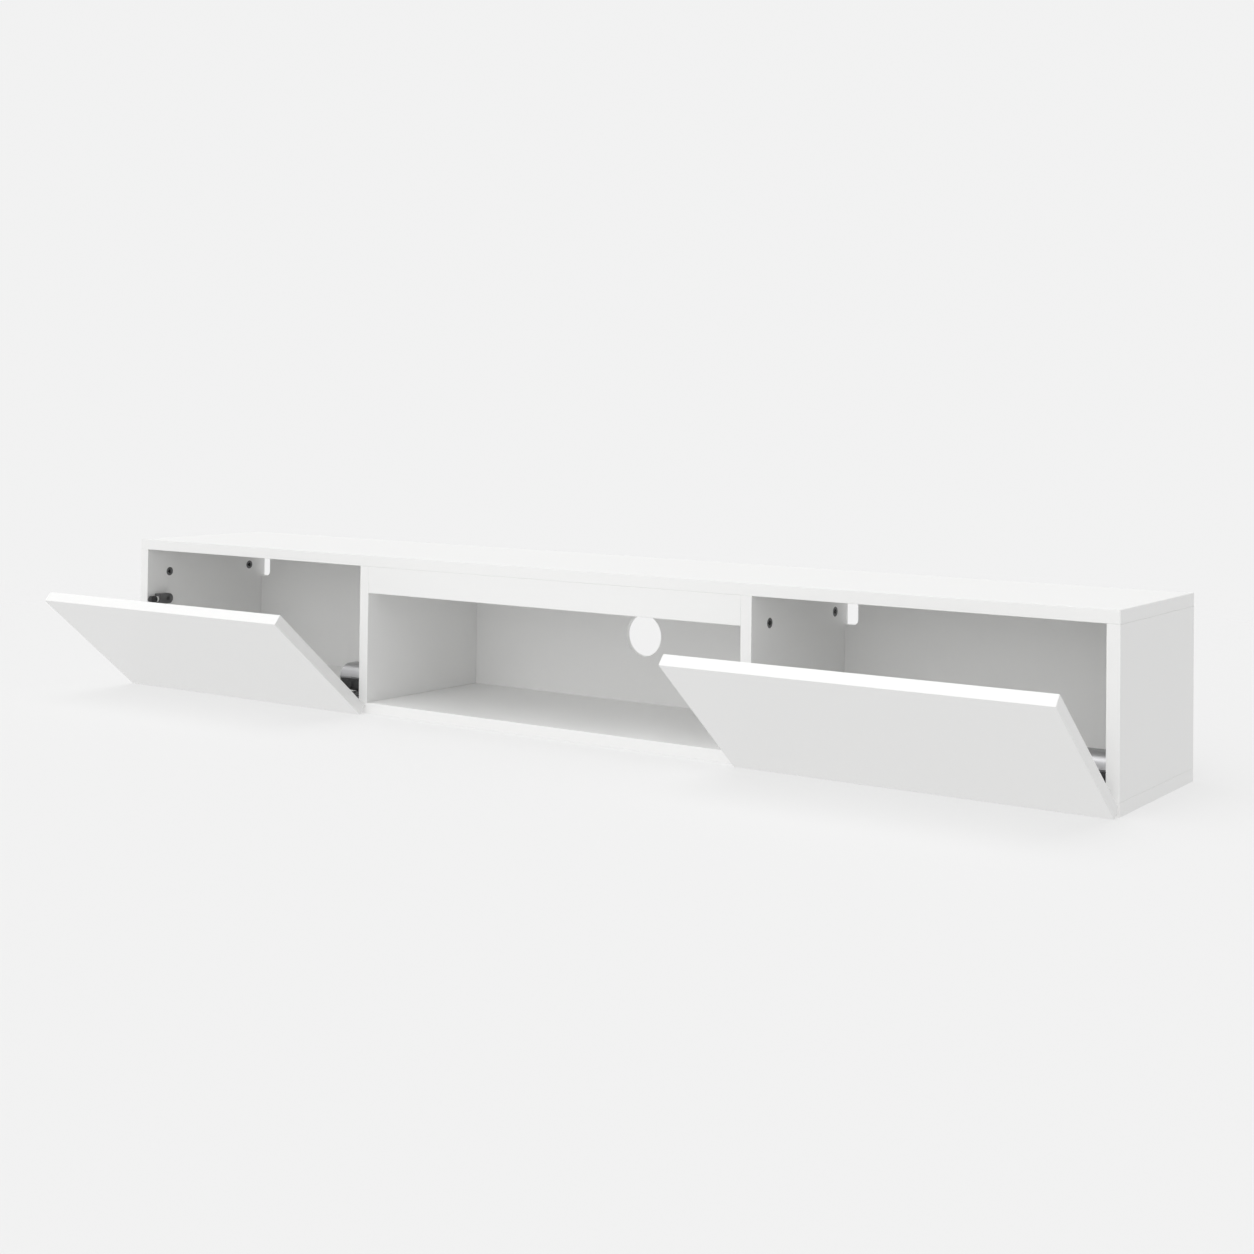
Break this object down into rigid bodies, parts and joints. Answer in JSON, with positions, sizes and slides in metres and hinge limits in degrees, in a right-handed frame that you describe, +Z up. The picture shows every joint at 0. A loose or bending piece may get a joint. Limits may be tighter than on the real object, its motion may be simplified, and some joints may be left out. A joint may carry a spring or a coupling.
{
  "type": "tv stand with doors",
  "caption": "Wall-hung low television cabinet with an open middle bay, a cable hole and bottom-hinged push-open flaps on both end bays.",
  "frame": {"origin": "middle of the underside of the bottom panel", "axes": "+X along the cabinet to its right end as seen from the front, -Y out of the front, +Z up"},
  "size_m": [1.8, 0.494, 0.256],
  "materials": {
    "white_board": "white melamine, satin",
    "white_flap": "white lacquer, satin",
    "white_back": "white-faced fibreboard, matt",
    "nickel": "nickel plated, pressed",
    "zinc": "zinc plated",
    "black_zinc": "black die cast, satin",
    "black_plastic": "moulded, fine grain",
    "pale_plastic": "moulded, satin",
    "black_felt": "self-adhesive felt pad",
    "beech": "raw turned beech"
  },
  "bodies": {
    "cabinet": {"top_panel": "white_board", "bottom_panel": "white_board", "left_side": "white_board", "right_side": "white_board", "left_divider": "white_board", "right_divider": "white_board", "back_panel": "white_back", "front_rail": "white_board", "hinge_plates": "nickel", "hinge_arms": "nickel", "hinge_plate_screws": "zinc", "hinge_arm_screws": "zinc", "left_latch_housing": "black_plastic", "right_latch_housing": "black_plastic", "latch_screws": "zinc", "damper_bodies": "black_plastic", "damper_covers": "nickel", "damper_screws": "zinc", "cam_locks": "black_zinc", "cam_bolts": "zinc", "panel_dowels": "beech", "rail_dowels": "beech", "back_screws": "zinc"},
    "left_flap_body": {"left_flap": "white_flap", "left_hinge_cups": "nickel", "left_cup_screws": "zinc", "left_strike_plate": "nickel", "left_flap_buffers": "black_felt"},
    "right_flap_body": {"right_flap": "white_flap", "right_hinge_cups": "nickel", "right_cup_screws": "zinc", "right_strike_plate": "nickel", "right_flap_buffers": "black_felt"},
    "left_plunger_body": {"left_latch_plunger": "pale_plastic", "left_latch_tip": "black_plastic"},
    "right_plunger_body": {"right_latch_plunger": "pale_plastic", "right_latch_tip": "black_plastic"}
  },
  "joints": [
    {"name": "left_flap_hinge", "type": "hinge", "parent": "cabinet", "child": "left_flap_body", "pos_m": [-0.6255, -0.1585, 0.0065], "axis": [1, 0, 0], "range_deg": [-50, 40]},
    {"name": "right_flap_hinge", "type": "hinge", "parent": "cabinet", "child": "right_flap_body", "pos_m": [0.6255, -0.1585, 0.0065], "axis": [1, 0, 0], "range_deg": [-50, 40]},
    {"name": "left_latch_push", "type": "slide", "parent": "cabinet", "child": "left_plunger_body", "axis": [0, 1, 0], "range_m": [0, 0.003]},
    {"name": "right_latch_push", "type": "slide", "parent": "cabinet", "child": "right_plunger_body", "axis": [0, 1, 0], "range_m": [0, 0.003]}
  ]
}
